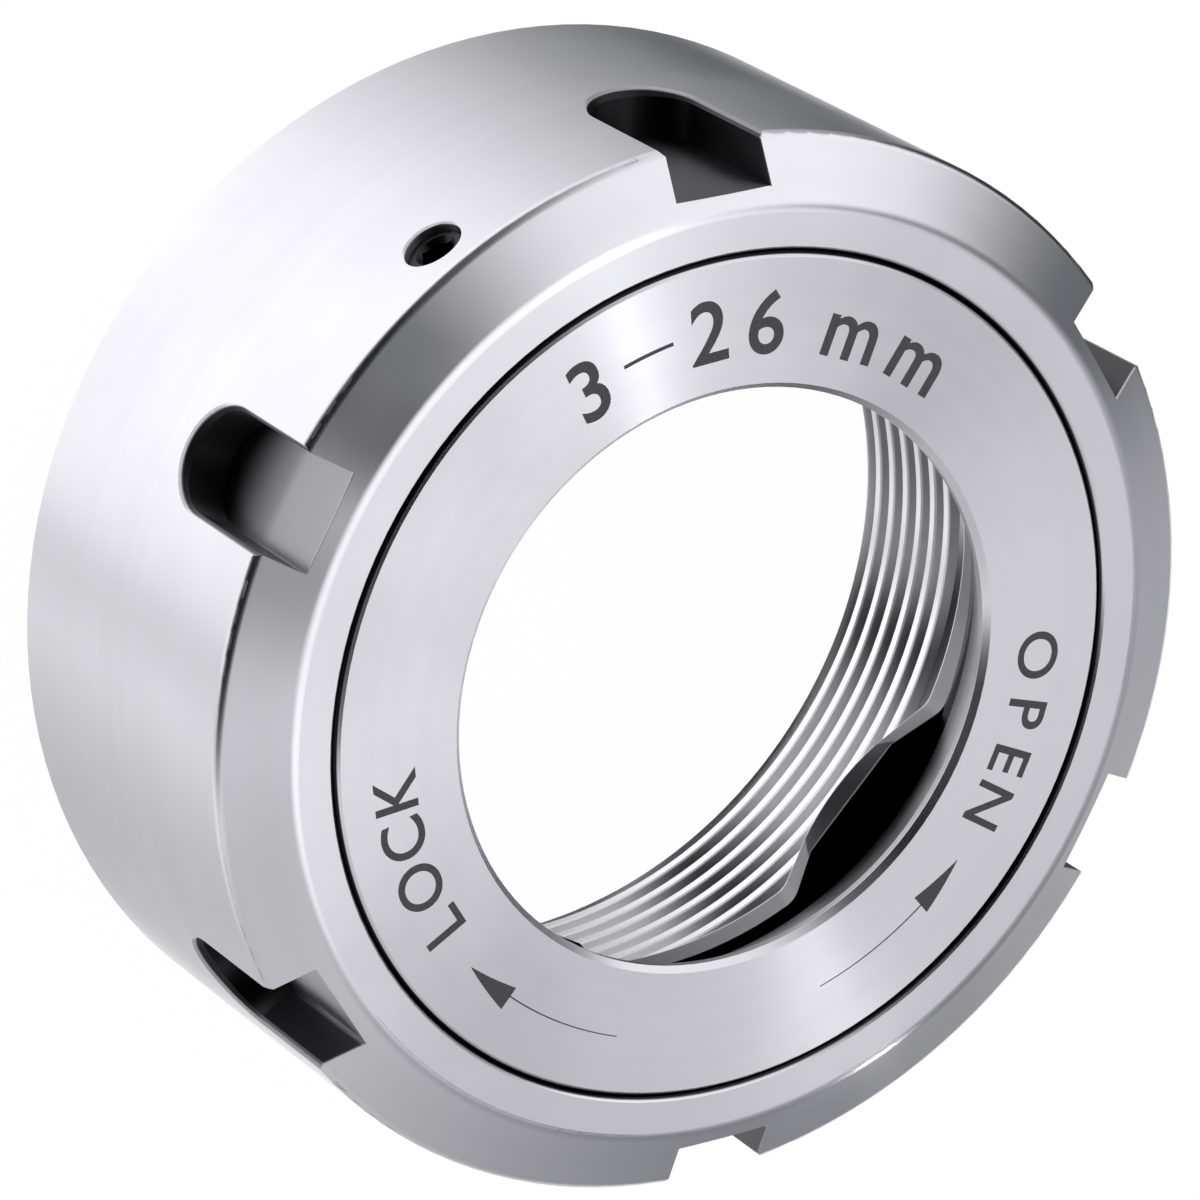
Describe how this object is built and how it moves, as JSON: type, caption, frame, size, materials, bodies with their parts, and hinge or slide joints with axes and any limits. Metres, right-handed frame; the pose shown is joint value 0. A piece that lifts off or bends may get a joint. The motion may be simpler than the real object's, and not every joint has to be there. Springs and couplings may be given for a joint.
{
  "type": "collet nut",
  "caption": "Slotted round clamping nut for spring collets, with a threaded rear bore and a ball-bearing front ring that turns.",
  "frame": {"origin": "centre of the rear face, on the nut's axis", "axes": "+Z along the axis from the rear, threaded end to the front ring; -Y through the loading hole's plug; +X through a spanner slot"},
  "size_m": [0.063, 0.063, 0.0255],
  "materials": {
    "body_steel": "fine turned, satin",
    "ring_steel": "fine turned face, etched grey marks",
    "black_steel": "black oxide",
    "ball_steel": "polished"
  },
  "bodies": {
    "housing": {"nut_body": "body_steel", "plug_screw": "black_steel"},
    "front_ring": {"clamp_ring": "ring_steel"},
    "ball_row": {"ball_01": "ball_steel", "ball_02": "ball_steel", "ball_03": "ball_steel", "ball_04": "ball_steel", "ball_05": "ball_steel", "ball_06": "ball_steel", "ball_07": "ball_steel", "ball_08": "ball_steel", "ball_09": "ball_steel", "ball_10": "ball_steel", "ball_11": "ball_steel", "ball_12": "ball_steel", "ball_13": "ball_steel", "ball_14": "ball_steel", "ball_15": "ball_steel", "ball_16": "ball_steel", "ball_17": "ball_steel", "ball_18": "ball_steel", "ball_19": "ball_steel", "ball_20": "ball_steel", "ball_21": "ball_steel", "ball_22": "ball_steel", "ball_23": "ball_steel", "ball_24": "ball_steel"}
  },
  "joints": [
    {"name": "ring_turn", "type": "hinge", "parent": "housing", "child": "front_ring", "pos_m": [0, 0, 0.0203], "axis": [0, 0, 1], "continuous": true},
    {"name": "ball_orbit", "type": "hinge", "parent": "housing", "child": "ball_row", "pos_m": [0, 0, 0.0203], "axis": [0, 0, 1], "continuous": true}
  ],
  "couplings": [
    {"joint": "ball_orbit", "follows": "ring_turn", "ratio": 0.48}
  ]
}
